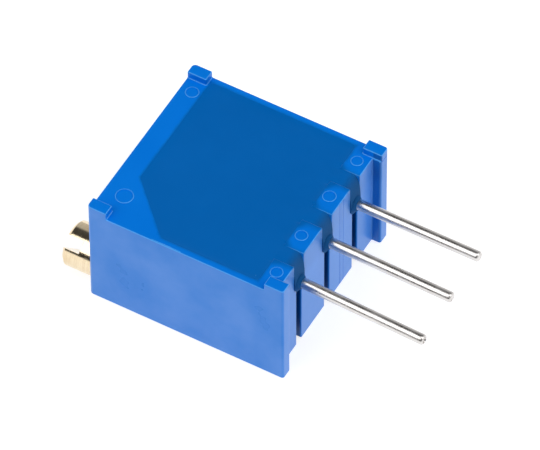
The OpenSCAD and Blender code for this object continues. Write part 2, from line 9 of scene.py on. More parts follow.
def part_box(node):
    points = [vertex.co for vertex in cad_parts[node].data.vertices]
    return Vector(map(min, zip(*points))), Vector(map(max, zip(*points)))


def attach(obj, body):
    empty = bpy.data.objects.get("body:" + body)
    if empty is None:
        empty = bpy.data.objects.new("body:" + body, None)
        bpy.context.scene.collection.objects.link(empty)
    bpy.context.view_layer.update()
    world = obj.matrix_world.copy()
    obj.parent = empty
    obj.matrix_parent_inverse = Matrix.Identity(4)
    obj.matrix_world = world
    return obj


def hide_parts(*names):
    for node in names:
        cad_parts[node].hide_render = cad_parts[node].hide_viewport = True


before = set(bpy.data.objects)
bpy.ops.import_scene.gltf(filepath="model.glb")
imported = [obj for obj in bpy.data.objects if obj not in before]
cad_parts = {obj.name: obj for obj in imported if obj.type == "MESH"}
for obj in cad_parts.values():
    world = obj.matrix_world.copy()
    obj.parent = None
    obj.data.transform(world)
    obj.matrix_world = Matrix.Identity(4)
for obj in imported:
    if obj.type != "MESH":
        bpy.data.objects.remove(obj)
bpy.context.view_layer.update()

# ---------------------------------------------------------------------------
# Studio. The part lies on its front face on a white table, under one large soft
# box in front on the left and a weaker one on the right, with dark air behind.
# ---------------------------------------------------------------------------
mm = 0.001
scene = bpy.context.scene
scene.view_settings.view_transform = "Standard"

camera_azimuth = math.radians(29.798)
camera_elevation = math.radians(51.043)
camera_roll = math.radians(-0.28)
camera_target = Vector((-3.8784, 0.8752, -1.72)) * mm
camera_distance = 368.51 * mm

backward = Vector((math.sin(camera_azimuth) * math.cos(camera_elevation),
                   -math.cos(camera_azimuth) * math.cos(camera_elevation),
                   math.sin(camera_elevation)))
level = Vector((math.cos(camera_azimuth), math.sin(camera_azimuth), 0))
upward = backward.cross(level)
to_right = level * math.cos(camera_roll) + upward * math.sin(camera_roll)
to_top = upward * math.cos(camera_roll) - level * math.sin(camera_roll)
camera_data = bpy.data.cameras.new("camera")
camera_data.sensor_width = 36
camera_data.lens = 547.22
camera_data.clip_start, camera_data.clip_end = 0.01, 5
camera = bpy.data.objects.new("camera", camera_data)
scene.collection.objects.link(camera)
camera.matrix_world = Matrix((to_right, to_top, backward)).transposed().to_4x4()
camera.matrix_world.translation = camera_target + backward * camera_distance
scene.camera = camera


def soft_box(name, azimuth, elevation, distance, width, height, radiance):
    """A soft box that looks at the part from a direction, azimuth 0 being -Y."""
    a, e = math.radians(azimuth), math.radians(elevation)
    way = Vector((math.sin(a) * math.cos(e), -math.cos(a) * math.cos(e), math.sin(e)))
    data = bpy.data.lights.new(name, "AREA")
    data.shape, data.size, data.size_y = "RECTANGLE", width, height
    data.energy = radiance * math.pi * width * height
    light = bpy.data.objects.new(name, data)
    scene.collection.objects.link(light)
    light.location = camera_target + way * distance
    light.rotation_mode = "QUATERNION"
    light.rotation_quaternion = way.to_track_quat("Z", "Y")


soft_box("front_box", -30, 50, 0.40, 0.26, 0.42, 2.1)
soft_box("right_box", 100, 38, 0.45, 0.30, 0.20, 2.0)
soft_box("top_box", 90, 72, 0.50, 0.30, 0.30, 2.2)

air = bpy.data.worlds.new("air")
air.use_nodes = True
scene.world = air
air_nodes, air_links = air.node_tree.nodes, air.node_tree.links
air_nodes["Background"].inputs["Strength"].default_value = 1.0
air_way = air_nodes.new("ShaderNodeTexCoord")
air_split = air_nodes.new("ShaderNodeSeparateXYZ")
air_ramp = air_nodes.new("ShaderNodeValToRGB")
air_links.new(air_way.outputs["Generated"], air_split.inputs[0])
air_links.new(air_split.outputs["Z"], air_ramp.inputs["Fac"])
bands = air_ramp.color_ramp.elements
bands[1].position, bands[1].color = 1.0, (0.04, 0.04, 0.04, 1)
for sine, grey in ((0.0, 0.62), (0.66, 0.50), (0.75, 0.055)):
    band = bands[0] if sine == 0 else bands.new(sine)
    band.position, band.color = sine, (grey, grey, grey, 1)
# the side that the camera looks from is dark too
air_front = air_nodes.new("ShaderNodeMapRange")
air_links.new(air_split.outputs["Y"], air_front.inputs[0])
for place, value in ((1, -0.80), (2, -0.60), (3, 0.04), (4, 1.0)):
    air_front.inputs[place].default_value = value
air_scale = air_nodes.new("ShaderNodeVectorMath")
air_scale.operation = "SCALE"
air_links.new(air_ramp.outputs["Color"], air_scale.inputs[0])
air_links.new(air_front.outputs[0], air_scale.inputs["Scale"])
air_links.new(air_scale.outputs[0], air_nodes["Background"].inputs["Color"])

table_data = bpy.data.meshes.new("table")
table_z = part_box("housing")[0][2] - 0.004 * mm
table_data.from_pydata([(-0.8, -0.8, table_z), (0.8, -0.8, table_z),
                        (0.8, 0.8, table_z), (-0.8, 0.8, table_z)], [], [(0, 1, 2, 3)])
table = bpy.data.objects.new("table", table_data)
scene.collection.objects.link(table)
table_finish = bpy.data.materials.new("white_table")
table_finish.use_nodes = True
table_shader = table_finish.node_tree.nodes["Principled BSDF"]
table_shader.inputs["Base Color"].default_value = (0.50, 0.50, 0.50, 1)
table_shader.inputs["Roughness"].default_value = 0.9
table_shader.inputs["Emission Color"].default_value = (1, 1, 1, 1)
table_shader.inputs["Emission Strength"].default_value = 0.72
table_data.materials.append(table_finish)

# ---------------------------------------------------------------------------
# Moulded case. One piece of glass-filled blue polyester with an open back: a
# pool for the potting, four ears, two standoff ribs, and a notch and a groove
# for each wire. Ejector pins and mould inserts left fine witness lines on it.
# ---------------------------------------------------------------------------
case_low, case_high = (Vector(corner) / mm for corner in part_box("housing"))
wheel_low, wheel_high = (Vector(corner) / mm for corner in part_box("worm_wheel"))
screw_low, screw_high = (Vector(corner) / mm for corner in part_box("adjustment_screw"))
plate_low, plate_high = (Vector(corner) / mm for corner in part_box("ceramic_plate"))

ear_height, ear_length, ear_width = 0.39, 0.98, 0.58
rim_z = case_high.z - ear_height
rib_out, rib_width = 0.45, 0.63
wall_x = case_high.x - rib_out
side = case_high.y
pool_x0, pool_x1 = case_low.x + 1.10, wall_x - 1.03
pool_side = 4.415
pool_corner_cut = 2.55
ledge_z = plate_low.z - 0.06
wire_pitch = 2.54
notch_radius = 0.42
groove_width, groove_depth = 0.45, 0.70
screw_y = (screw_low.y + screw_high.y) / 2
screw_z = (screw_low.z + screw_high.z) / 2
bore_radius, channel_radius = 1.13, 0.92
wheel_x = (wheel_low.x + wheel_high.x) / 2
wheel_y = (wheel_low.y + wheel_high.y) / 2
cavity_radius = 3.50
floor_z = case_low.z + 0.62
trough_side, trough_end_x, trough_drop = 3.04, -1.63, 0.36
worm_reach = 2.65
retainer_x0, retainer_x1 = pool_x0 + 0.15, pool_x0 + 0.54
ear_round, outer_round = 0.05, 0.20


def outline(corners, steps=7):
    """Points of a polygon whose corners (x, y, radius) are rounded."""
    points = []
    for i, (x, y, r) in enumerate(corners):
        here = Vector((x, y))
        before = (Vector(corners[i - 1][:2]) - here).normalized()
        after = (Vector(corners[(i + 1) % len(corners)][:2]) - here).normalized()
        if r <= 0:
            points.append((x, y))
            continue
        half = before.angle(after) / 2
        reach = r / math.tan(half)
        centre = here + (before + after).normalized() * (r / math.sin(half))
        start, end = here + before * reach - centre, here + after * reach - centre
        turn = math.atan2(start.x * end.y - start.y * end.x, start.dot(end))
        for k in range(steps + 1):
            a = turn * k / steps
            points.append((centre.x + start.x * math.cos(a) - start.y * math.sin(a),
                           centre.y + start.x * math.sin(a) + start.y * math.cos(a)))
    return points


def prism(points, z0, z1):
    """A solid with the given plan between two levels, in millimetres."""
    bm = bmesh.new()
    low = [bm.verts.new((x, y, z0)) for x, y in points]
    high = [bm.verts.new((x, y, z1)) for x, y in points]
    bm.faces.new(low)
    bm.faces.new(high)
    for i in range(len(points)):
        j = (i + 1) % len(points)
        bm.faces.new((low[i], low[j], high[j], high[i]))
    bmesh.ops.recalc_face_normals(bm, faces=bm.faces)
    return bm


def box(a, b):
    return prism([(a[0], a[1]), (b[0], a[1]), (b[0], b[1]), (a[0], b[1])], a[2], b[2])


def along_x(points, x0, x1):
    """A prism of (y, z) points that runs along X."""
    bm = prism(points, x0, x1)
    bmesh.ops.transform(bm, verts=bm.verts,
                        matrix=Matrix(((0, 0, 1, 0), (1, 0, 0, 0), (0, 1, 0, 0), (0, 0, 0, 1))))
    return bm


def turned(profile, at, along="X", segments=48):
    """A lathe-turned solid: profile is (station, radius) from one end to the other."""
    bm = bmesh.new()
    rings = []
    for station, radius in profile:
        ring = []
        for k in range(segments):
            a = 2 * math.pi * k / segments
            c, s = radius * math.cos(a), radius * math.sin(a)
            place = (station, c, s) if along == "X" else (c, s, station)
            ring.append(bm.verts.new(Vector(place) + Vector(at)))
        rings.append(ring)
    bm.faces.new(rings[0])
    bm.faces.new(rings[-1])
    for one, two in zip(rings, rings[1:]):
        for k in range(segments):
            j = (k + 1) % segments
            bm.faces.new((one[k], one[j], two[j], two[k]))
    bmesh.ops.recalc_face_normals(bm, faces=bm.faces)
    return bm


def blank(name, bm):
    """A work object in millimetres from a bmesh."""
    mesh = bpy.data.meshes.new(name)
    bm.to_mesh(mesh)
    bm.free()
    work = bpy.data.objects.new(name, mesh)
    scene.collection.objects.link(work)
    return work


def settle(work):
    """Applies the modifiers of a work object."""
    mesh = bpy.data.meshes.new_from_object(
        work.evaluated_get(bpy.context.evaluated_depsgraph_get()))
    old = work.data
    work.modifiers.clear()
    work.data = mesh
    bpy.data.meshes.remove(old)
    return work


def combine(work, bm, operation="DIFFERENCE"):
    """Cuts a tool out of a work object, or joins it on."""
    tool = blank("tool", bm)
    step = work.modifiers.new("step", "BOOLEAN")
    step.solver, step.operation, step.object = "EXACT", operation, tool
    settle(work)
    bpy.data.objects.remove(tool)
    return work


def soften(work, width, segments=3, angle=40, weighted=False):
    """Rounds the sharp edges of a work object, or only those that carry a weight."""
    if weighted:
        bm = bmesh.new()
        bm.from_mesh(work.data)
        layer = bm.edges.layers.float["bevel_weight_edge"]
        for edge in bm.edges:
            if len(edge.link_faces) != 2 or edge.calc_face_angle(0) < math.radians(angle):
                edge[layer] = 0.0
        bm.to_mesh(work.data)
        bm.free()
    step = work.modifiers.new("round", "BEVEL")
    step.width, step.segments = width, segments
    step.limit_method = "WEIGHT" if weighted else "ANGLE"
    step.angle_limit = math.radians(angle)
    step.use_clamp_overlap = False
    step.miter_outer = "MITER_ARC"
    return settle(work)


def finished(work, name, body, nodes, material, smooth=30, weighted=True):
    """The finished piece in metres, riding on its body in place of CAD nodes."""
    if material and not work.data.materials:
        work.data.materials.append(material)
    # the cuts can leave a sliver open; its points are joined and the sliver is closed
    bm = bmesh.new()
    bm.from_mesh(work.data)
    bmesh.ops.remove_doubles(bm, verts=bm.verts, dist=0.0001)
    bmesh.ops.holes_fill(bm, edges=[e for e in bm.edges if e.is_boundary], sides=4)
    bm.to_mesh(work.data)
    bm.free()
    work.data.polygons.foreach_set("use_smooth", [True] * len(work.data.polygons))
    work.data.set_sharp_from_angle(angle=math.radians(smooth))
    if weighted:
        step = work.modifiers.new("shade", "WEIGHTED_NORMAL")
        step.keep_sharp = True
        settle(work)
    work.data.transform(Matrix.Scale(mm, 4))
    work.name = name
    work.data.name = name
    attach(work, body)
    if nodes:
        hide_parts(*nodes)
    return work


def node_group(name, inputs, outputs):
    """An empty shader node group with named sockets, and its input and output nodes."""
    group = bpy.data.node_groups.new(name, "ShaderNodeTree")
    for label, kind, value in inputs:
        socket = group.interface.new_socket(name=label, in_out="INPUT", socket_type=kind)
        if value is not None:
            socket.default_value = value
    for label, kind in outputs:
        group.interface.new_socket(name=label, in_out="OUTPUT", socket_type=kind)
    return group, group.nodes.new("NodeGroupInput"), group.nodes.new("NodeGroupOutput")


def chain(tree, kind, settings=None, **wires):
    """A new node with some settings, its sockets wired or set by name."""
    node = tree.nodes.new(kind)
    for key, value in (settings or {}).items():
        setattr(node, key, value)
    for key, value in wires.items():
        socket = node.inputs[int(key[1:])] if key[0] == "_" else node.inputs[key.replace("_", " ")]
        if isinstance(value, bpy.types.NodeSocket):
            tree.links.new(value, socket)
        else:
            socket.default_value = value
    return node


def sums(tree, operation, *values):
    """The result of one step of arithmetic."""
    wires = {"_%d" % k: value for k, value in enumerate(values)}
    return chain(tree, "ShaderNodeMath", {"operation": operation}, **wires).outputs[0]


def ramp(tree, value, a, b, low=0.0, high=1.0, smooth=False):
    """A value that goes from low to high while its input goes from a to b."""
    settings = {"interpolation_type": "SMOOTHSTEP"} if smooth else None
    return chain(tree, "ShaderNodeMapRange", settings, _0=value, _1=a, _2=b, _3=low,
                 _4=high).outputs[0]


def mixed(tree, share, one, two):
    """Two colours mixed by a share."""
    return chain(tree, "ShaderNodeMix", {"data_type": "RGBA"}, _0=share, _6=one,
                 _7=two).outputs[2]


# Moulded and cast surfaces share a cloudy tone, a fine grain and sparse specks.
skin, skin_in, skin_out = node_group(
    "moulded_skin",
    [("Cloud Size", "NodeSocketFloat", 1.5), ("Grain Size", "NodeSocketFloat", 0.05),
     ("Grain Depth", "NodeSocketFloat", 0.002), ("Speck Size", "NodeSocketFloat", 0.03)],
    [("Cloud", "NodeSocketFloat"), ("Speck", "NodeSocketFloat"), ("Normal", "NodeSocketVector")])
skin_place = chain(skin, "ShaderNodeTexCoord").outputs["Object"]
skin_mm = chain(skin, "ShaderNodeVectorMath", {"operation": "SCALE"}, _0=skin_place, Scale=1000.0)
cloud_at = chain(skin, "ShaderNodeVectorMath", {"operation": "DIVIDE"},
                 _0=skin_mm.outputs[0], _1=skin_in.outputs["Cloud Size"])
cloud = chain(skin, "ShaderNodeTexNoise", Vector=cloud_at.outputs[0], Scale=1.0, Detail=3.0,
              Roughness=0.55)
grain_at = chain(skin, "ShaderNodeVectorMath", {"operation": "DIVIDE"},
                 _0=skin_mm.outputs[0], _1=skin_in.outputs["Grain Size"])
grain = chain(skin, "ShaderNodeTexNoise", Vector=grain_at.outputs[0], Scale=1.0, Detail=2.0)
wave = chain(skin, "ShaderNodeTexNoise", Vector=skin_mm.outputs[0], Scale=0.9, Detail=1.0)
relief = sums(skin, "MULTIPLY_ADD", wave.outputs["Fac"], 3.0, grain.outputs["Fac"])
grain_m = sums(skin, "MULTIPLY", skin_in.outputs["Grain Depth"], mm)
grain_bump = chain(skin, "ShaderNodeBump", Height=relief, Distance=grain_m, Strength=1.0)
specks = chain(skin, "ShaderNodeTexVoronoi", Vector=skin_mm.outputs[0], Scale=1.3)
speck_near = ramp(skin, specks.outputs["Distance"], skin_in.outputs["Speck Size"], 0.0)
speck_pick = chain(skin, "ShaderNodeSeparateColor", _0=specks.outputs["Color"])
speck_rare = sums(skin, "GREATER_THAN", speck_pick.outputs[0], 0.72)
speck = sums(skin, "MULTIPLY", speck_near, speck_rare)
skin.links.new(cloud.outputs["Fac"], skin_out.inputs["Cloud"])
skin.links.new(speck, skin_out.inputs["Speck"])
skin.links.new(grain_bump.outputs[0], skin_out.inputs["Normal"])

# Epoxy wets the rim beside each notch and thins out over it: 1 in the notches.
smear, smear_in, smear_out = node_group(
    "epoxy_smear", [("Spread", "NodeSocketFloat", 0.25)], [("Mask", "NodeSocketFloat")])
smear_place = chain(smear, "ShaderNodeTexCoord").outputs["Object"]
smear_mm = chain(smear, "ShaderNodeVectorMath", {"operation": "SCALE"}, _0=smear_place,
                 Scale=1000.0)
smear_noise = chain(smear, "ShaderNodeTexNoise", Vector=smear_mm.outputs[0], Scale=2.2, Detail=2.0)
smear_xyz = chain(smear, "ShaderNodeSeparateXYZ", _0=smear_mm.outputs[0])
row_y = sums(smear, "ADD", smear_xyz.outputs["Y"], wire_pitch / 2 + 0.08)
row_wrap = sums(smear, "WRAP", row_y, wire_pitch, 0.0)
row_off = sums(smear, "SUBTRACT", row_wrap, wire_pitch / 2)
row_far = sums(smear, "ABSOLUTE", row_off)
# the wetted strip is narrow at the wall's face and flares towards the pool
flare_in = ramp(smear, smear_xyz.outputs["X"], wall_x - 0.35, pool_x1 - 0.1)
flare = sums(smear, "POWER", flare_in, 2.6)
reach = sums(smear, "MULTIPLY_ADD", flare, 0.75, notch_radius - 0.02)
over = sums(smear, "SUBTRACT", row_far, reach)
ragged = sums(smear, "MULTIPLY_ADD", smear_noise.outputs["Fac"], -0.22, over)
fade = sums(smear, "DIVIDE", ragged, smear_in.outputs["Spread"])
fade_in = ramp(smear, fade, 0.6, -0.6, smooth=True)
keep_x = ramp(smear, smear_xyz.outputs["X"], pool_x1 - 0.4, pool_x1 - 0.1, smooth=True)
keep_z = ramp(smear, smear_xyz.outputs["Z"], -0.55, 0.5, smooth=True)
keep_y = sums(smear, "ABSOLUTE", smear_xyz.outputs["Y"])
keep_row = ramp(smear, keep_y, wire_pitch + 1.1, wire_pitch + 0.5, smooth=True)
kept = sums(smear, "MULTIPLY", fade_in, keep_x)
kept_z = sums(smear, "MULTIPLY", kept, keep_z)
kept_row = sums(smear, "MULTIPLY", kept_z, keep_row)
# along the rest of the pool's edge it has crept a hair's breadth over the rim
shores = []
for a, b, c in ((1, 0, -pool_x0), (0, 1, pool_side), (0, -1, pool_side), (-1, 0, pool_x1),
                (0.7071, 0.7071, (pool_side - pool_corner_cut - pool_x0) * 0.7071)):
    along = sums(smear, "MULTIPLY_ADD", smear_xyz.outputs["X"], a, c)
    shore = sums(smear, "MULTIPLY_ADD", smear_xyz.outputs["Y"], b, along)
    shores.append(shore if not shores else sums(smear, "MINIMUM", shores[-1], shore))
creep = sums(smear, "MULTIPLY_ADD", smear_noise.outputs["Fac"], 0.1, shores[-1])
crept = ramp(smear, creep, -0.13, 0.09, 0.0, 0.9, smooth=True)
crept_high = sums(smear, "MULTIPLY", crept, keep_z)
wet_all = sums(smear, "MAXIMUM", kept_row, crept_high)
smear.links.new(wet_all, smear_out.inputs["Mask"])

# Masks of painted light on the case: its outer walls, painted paler as a reflection of the bright
# table, and the rounded edges along its top, painted as highlights.
walls, walls_in, walls_out = node_group(
    "case_walls", [("Edge Share", "NodeSocketFloat", 1.0)],
    [("Outer Wall", "NodeSocketFloat"), ("Edge", "NodeSocketFloat"), ("Deep", "NodeSocketFloat")])
walls_at = chain(walls, "ShaderNodeTexCoord")
walls_mm = chain(walls, "ShaderNodeVectorMath", {"operation": "SCALE"},
                 _0=walls_at.outputs["Object"], Scale=1000.0)
walls_place = chain(walls, "ShaderNodeSeparateXYZ", _0=walls_mm.outputs[0])
walls_way = chain(walls, "ShaderNodeVectorMath", {"operation": "ABSOLUTE"},
                  _0=walls_at.outputs["Normal"])
walls_face = chain(walls, "ShaderNodeSeparateXYZ", _0=walls_way.outputs[0])
walls_y = sums(walls, "ABSOLUTE", walls_place.outputs["Y"])
# painted reflection: picks out the outer walls, which are painted paler as if they mirrored the
# bright table
outer = None
for place, facing, start, end in (
        (walls_y, "Y", side - 0.06, side - 0.03),
        (walls_place.outputs["X"], "X", wall_x - 0.06, wall_x - 0.03),
        (walls_place.outputs["X"], "X", case_low.x + 0.06, case_low.x + 0.03)):
    near = ramp(walls, place, start, end)
    square = ramp(walls, walls_face.outputs[facing], 0.2, 0.9)
    share = sums(walls, "MULTIPLY", near, square)
    outer = share if outer is None else sums(walls, "MAXIMUM", outer, share)
# painted highlight: the rounded edges along the top, found by how far their normals lean
leans_up = ramp(walls, walls_face.outputs["Z"], 0.15, 0.55)
leans_over = ramp(walls, walls_face.outputs["Z"], 0.985, 0.85)
leans = sums(walls, "MULTIPLY", leans_up, leans_over)
high_up = ramp(walls, walls_place.outputs["Z"], rim_z - 0.3, rim_z - 0.1)
leans_high = sums(walls, "MULTIPLY", leans, high_up)
edge_highlight_share = sums(walls, "MULTIPLY", leans_high, walls_in.outputs["Edge Share"])
# the bottoms of the grooves and the inner flanks of the ribs see little light
deep_x = ramp(walls, walls_place.outputs["X"], wall_x - 0.02, wall_x - 0.12)
deep_z = ramp(walls, walls_place.outputs["Z"], 0.0, -0.35)
deep_y = ramp(walls, walls_y, wire_pitch + 0.6, wire_pitch + 0.4)
deep_out = ramp(walls, walls_place.outputs["X"], pool_x1 - 0.1, pool_x1 + 0.1)
deep = deep_x
for part in (deep_z, deep_y, deep_out):
    deep = sums(walls, "MULTIPLY", deep, part)
flank = ramp(walls, walls_place.outputs["X"], wall_x - 0.02, wall_x + 0.04, 0.0, 0.55)
flank_y = ramp(walls, walls_face.outputs["Y"], 0.3, 0.9)
inner_y = ramp(walls, walls_y, side - 0.2, side - 0.4)
for part in (flank_y, inner_y):
    flank = sums(walls, "MULTIPLY", flank, part)
deepest = sums(walls, "MAXIMUM", deep, flank)
walls.links.new(deepest, walls_out.inputs["Deep"])
walls.links.new(outer, walls_out.inputs["Outer Wall"])
walls.links.new(edge_highlight_share, walls_out.inputs["Edge"])

case_blue = (0.0, 0.182, 0.770, 1)
case_blue_pale = (0.0, 0.216, 0.850, 1)
case_blue_wet = (0.0, 0.130, 0.485, 1)
# painted reflection: paler blues for the outer walls, standing in for the bright table they mirror
case_blue_wall_sheen = (0.040, 0.212, 0.690, 1)
case_blue_wall_sheen_pale = (0.088, 0.262, 0.740, 1)
# painted highlight for the rounded edges along the top
case_blue_edge_highlight = (0.110, 0.420, 0.950, 1)
# painted shade for the grooves and the inner flanks of the ribs
case_blue_deep = (0.0, 0.045, 0.210, 1)


def case_plastic(name, blue, pale):
    """Moulded blue polyester, cloudy, with epoxy smeared on it beside the wires; painted paler on
    its outer walls as a reflection, lighter along its top edges as a highlight, and darker in its
    grooves and rib flanks as shade.
    """
    material = bpy.data.materials.new(name)
    material.use_nodes = True
    tree = material.node_tree
    shader = tree.nodes["Principled BSDF"]
    shader.inputs["Specular IOR Level"].default_value = 0.5
    shader.inputs["Specular Tint"].default_value = (0.02, 0.45, 1.0, 1)
    finish = chain(tree, "ShaderNodeGroup", {"node_tree": skin}, Cloud_Size=2.2,
                   Grain_Size=0.045, Grain_Depth=0.0008, Speck_Size=0.02)
    wet = chain(tree, "ShaderNodeGroup", {"node_tree": smear}, Spread=0.45)
    clouds = mixed(tree, finish.outputs["Cloud"], blue, pale)
    # painted reflection: the outer walls are painted paler, in a cloudy spread between two pale
    # blues, as if they mirrored the bright table
    painted_light_masks = chain(tree, "ShaderNodeGroup", {"node_tree": walls})
    blotch = ramp(tree, finish.outputs["Cloud"], 0.32, 0.66)
    pale = mixed(tree, blotch, case_blue_wall_sheen, case_blue_wall_sheen_pale)
    sides = mixed(tree, painted_light_masks.outputs["Outer Wall"], clouds, pale)
    # painted shade in the grooves and on the inner flanks of the ribs
    shaded = mixed(tree, painted_light_masks.outputs["Deep"], sides, case_blue_deep)
    # painted highlight along the rounded top edges
    edges = mixed(tree, painted_light_masks.outputs["Edge"], shaded, case_blue_edge_highlight)
    wetted = mixed(tree, wet.outputs["Mask"], edges, case_blue_wet)
    tree.links.new(wetted, shader.inputs["Base Color"])
    gloss = ramp(tree, finish.outputs["Cloud"], 0.3, 0.7, 0.27, 0.36)
    tree.links.new(gloss, shader.inputs["Roughness"])
    tree.links.new(finish.outputs["Normal"], shader.inputs["Normal"])
    return material


case_finish = case_plastic("case_plastic", case_blue, case_blue_pale)
# painted highlight: the ejector-mark lips and the flash get a lighter blue, as if their edges
# caught the light
witness_highlight_finish = case_plastic("case_witness_line_painted_highlight", (0.03, 0.32, 0.90, 1), (0.06, 0.38, 0.94, 1))

case = blank("case", prism(outline([
    (case_low.x, -side, outer_round), (0, -side, 0.12), (0, rib_width - side, 0.12),
    (wall_x, rib_width - side, 0.05), (wall_x, side - rib_width, 0.05),
    (0, side - rib_width, 0.12), (0, side, 0.12), (case_low.x, side, outer_round)]),
    case_low.z, case_high.z))
combine(case, prism(outline([
    (case_low.x - 1, ear_width - side, 0), (case_low.x + ear_length, ear_width - side, ear_round),
    (case_low.x + ear_length, -side - 1, 0), (-ear_length, -side - 1, 0),
    (-ear_length, ear_width - side, ear_round), (1, ear_width - side, 0),
    (1, side - ear_width, 0), (-ear_length, side - ear_width, ear_round),
    (-ear_length, side + 1, 0), (case_low.x + ear_length, side + 1, 0),
    (case_low.x + ear_length, side - ear_width, ear_round),
    (case_low.x - 1, side - ear_width, 0)]), rim_z, case_high.z + 1))
pool_plan = [(pool_x0, -pool_side + pool_corner_cut, 0.30),
             (pool_x0 + pool_corner_cut, -pool_side, 0.40), (pool_x1, -pool_side, 0.25),
             (pool_x1, pool_side, 0.25), (pool_x0, pool_side, 0.25)]
combine(case, prism(outline(pool_plan), ledge_z, case_high.z + 1))
for terminal in (-1, 0, 1):
    notch = [(notch_radius * math.cos(math.pi * (1 + k / 16)),
              notch_radius * math.sin(math.pi * (1 + k / 16))) for k in range(17)]
    notch = [(notch_radius, case_high.z), (-notch_radius, case_high.z)] + notch
    combine(case, along_x([(y + terminal * wire_pitch, z) for y, z in notch],
                          pool_x1 - 0.3, 0.5))
    combine(case, box((wall_x - groove_depth, terminal * wire_pitch - groove_width / 2,
                       case_low.z - 1),
                      (0.2, terminal * wire_pitch + groove_width / 2, -0.1)))
combine(case, turned([(floor_z, cavity_radius), (ledge_z + 0.2, cavity_radius)],
                     (wheel_x, wheel_y, 0), "Z", 96))
combine(case, box((wheel_x + 1.4, -trough_side, plate_low.z - trough_drop),
                  (trough_end_x, trough_side, ledge_z + 0.2)))
combine(case, turned([(wheel_x - worm_reach, channel_radius),
                      (wheel_x + worm_reach, channel_radius)], (0, screw_y, screw_z)))
combine(case, box((retainer_x0, screw_y - channel_radius, screw_z),
                  (wheel_x + worm_reach, screw_y + channel_radius, ledge_z + 0.02)))
combine(case, box((retainer_x0, screw_y - channel_radius, screw_z - channel_radius),
                  (retainer_x1, -0.025, ledge_z + 0.02)))
combine(case, turned([(case_low.x - 0.5, bore_radius + 0.04), (case_low.x, bore_radius + 0.04),
                      (case_low.x + 0.04, bore_radius), (pool_x0 + 0.16, bore_radius)],
                     (0, screw_y, screw_z), segments=96))
combine(case, turned([(retainer_x0, channel_radius), (wheel_x - 2.6, channel_radius)],
                     (0, screw_y, screw_z)))
combine(case, turned([(wheel_x + 2.3, 0.48), (wheel_x + 3.6, 0.48)], (0, screw_y, screw_z)))
combine(case, turned([(floor_z - 0.1, 0.75), (-1.68, 0.75)], (wheel_x, wheel_y, 0), "Z"), "UNION")
combine(case, turned([(floor_z - 0.1, 0.22), (floor_z + 0.42, 0.22)],
                     (wheel_x + 1.30, wheel_y, 0), "Z", 32), "UNION")

# ejector pins leave a shallow disc with a raised lip of plastic round it
ejector_marks = ((-9.40, 3.53, 0.30), (-9.02, -3.17, 0.40), (-0.99, 3.68, 0.27),
                 (-1.07, 1.30, 0.30), (-1.05, -1.26, 0.28), (-0.98, -3.62, 0.28))
for x, y, r in ejector_marks:
    lip = [(rim_z - 0.03, r + 0.022), (rim_z + 0.010, r + 0.022), (rim_z + 0.022, r + 0.008),
           (rim_z + 0.022, r - 0.006)]
    combine(case, turned(lip, (x, y, 0), "Z", 40), "UNION")
    combine(case, turned([(rim_z - 0.012, r - 0.016), (rim_z + 0.1, r - 0.010)],
                         (x, y, 0), "Z", 40))
# the mould rounds the outer edges and the edges of the rim, not those of the works
weights = case.data.attributes.new("bevel_weight_edge", "FLOAT", "EDGE")
for edge in case.data.edges:
    ends = [case.data.vertices[v].co for v in edge.vertices]
    on_rim = all(co.z > rim_z - 0.001 for co in ends)
    on_shell = all(abs(co.y) > side - 0.25 or co.x > wall_x - 0.001 or co.x < case_low.x + 0.25
                   for co in ends)
    by_bore = all(co.x < case_low.x + 0.3 and math.hypot(co.y - screw_y, co.z - screw_z)
                  < bore_radius + 0.06 for co in ends)
    by_mark = any(math.hypot(ends[0].x - x, ends[0].y - y) < r + 0.04 for x, y, r in ejector_marks)
    weights.data[edge.index].value = float((on_rim or on_shell) and not by_bore and not by_mark)
soften(case, 0.05, weighted=True)

# the insert that forms the pin side leaves hairline steps down its middle panel
for y, width in ((1.14, 0.020), (1.47, 0.022), (1.26, 0.012)):
    combine(case, box((wall_x - 0.012, y, case_low.z - 1), (0.1, y + width, rim_z + 0.01)))
# a parting line crosses the end of the far rib just below its ear
combine(case, box((-0.030, side - rib_width - 0.01, rim_z - 0.05),
                  (0.2, side + 0.01, rim_z - 0.015)))
# the lips of the ejector marks take the lighter witness blue, a painted highlight
case.data.materials.clear()
case.data.materials.append(case_finish)
case.data.materials.append(witness_highlight_finish)
for face in case.data.polygons:
    mid = face.center
    face.material_index = int(mid.z > rim_z + 0.003 and any(
        math.hypot(mid.x - x, mid.y - y) < r + 0.03 for x, y, r in ejector_marks))
finished(case, "moulded_case", "case", ["housing"], None, smooth=35)

# a short ragged flash stands on the rim's near edge, where the mould halves met
flash = bmesh.new()
flash_rows = []
for k in range(61):
    x = -6.75 + 1.5 * k / 60
    swell = math.sin(math.pi * k / 60)
    high = (0.012 + 0.030 * abs(noise.noise(Vector((x * 7, 0, 5))))) * swell + 0.001
    out = 0.012 * noise.noise(Vector((x * 9, 4, 0))) * swell
    flash_rows.append([flash.verts.new((x, y - side + out, rim_z + z)) for y, z in
                       ((0.030, -0.04), (0.038, high * 0.6), (0.052, high), (0.075, high * 0.5),
                        (0.090, -0.02))])
for one, two in zip(flash_rows, flash_rows[1:]):
    for j in range(5):
        flash.faces.new((one[j], two[j], two[(j + 1) % 5], one[(j + 1) % 5]))
flash.faces.new(flash_rows[0])
flash.faces.new(flash_rows[-1])
bmesh.ops.recalc_face_normals(flash, faces=flash.faces)
# the flash wears the lighter witness blue, a painted highlight
finished(blank("flash", flash), "mould_flash", "case", [], witness_highlight_finish)

# ---------------------------------------------------------------------------
# Potting. Blue epoxy poured into the back of the case and cured: flush and a
# little wavy, wetting the walls, and running down over the wires through the
# three notches, where it closes round each wire in a rounded nose and a bead.
# ---------------------------------------------------------------------------
bead_x = wall_x + 0.24
nose_x = wall_x + 0.05
wire_radius = 0.255


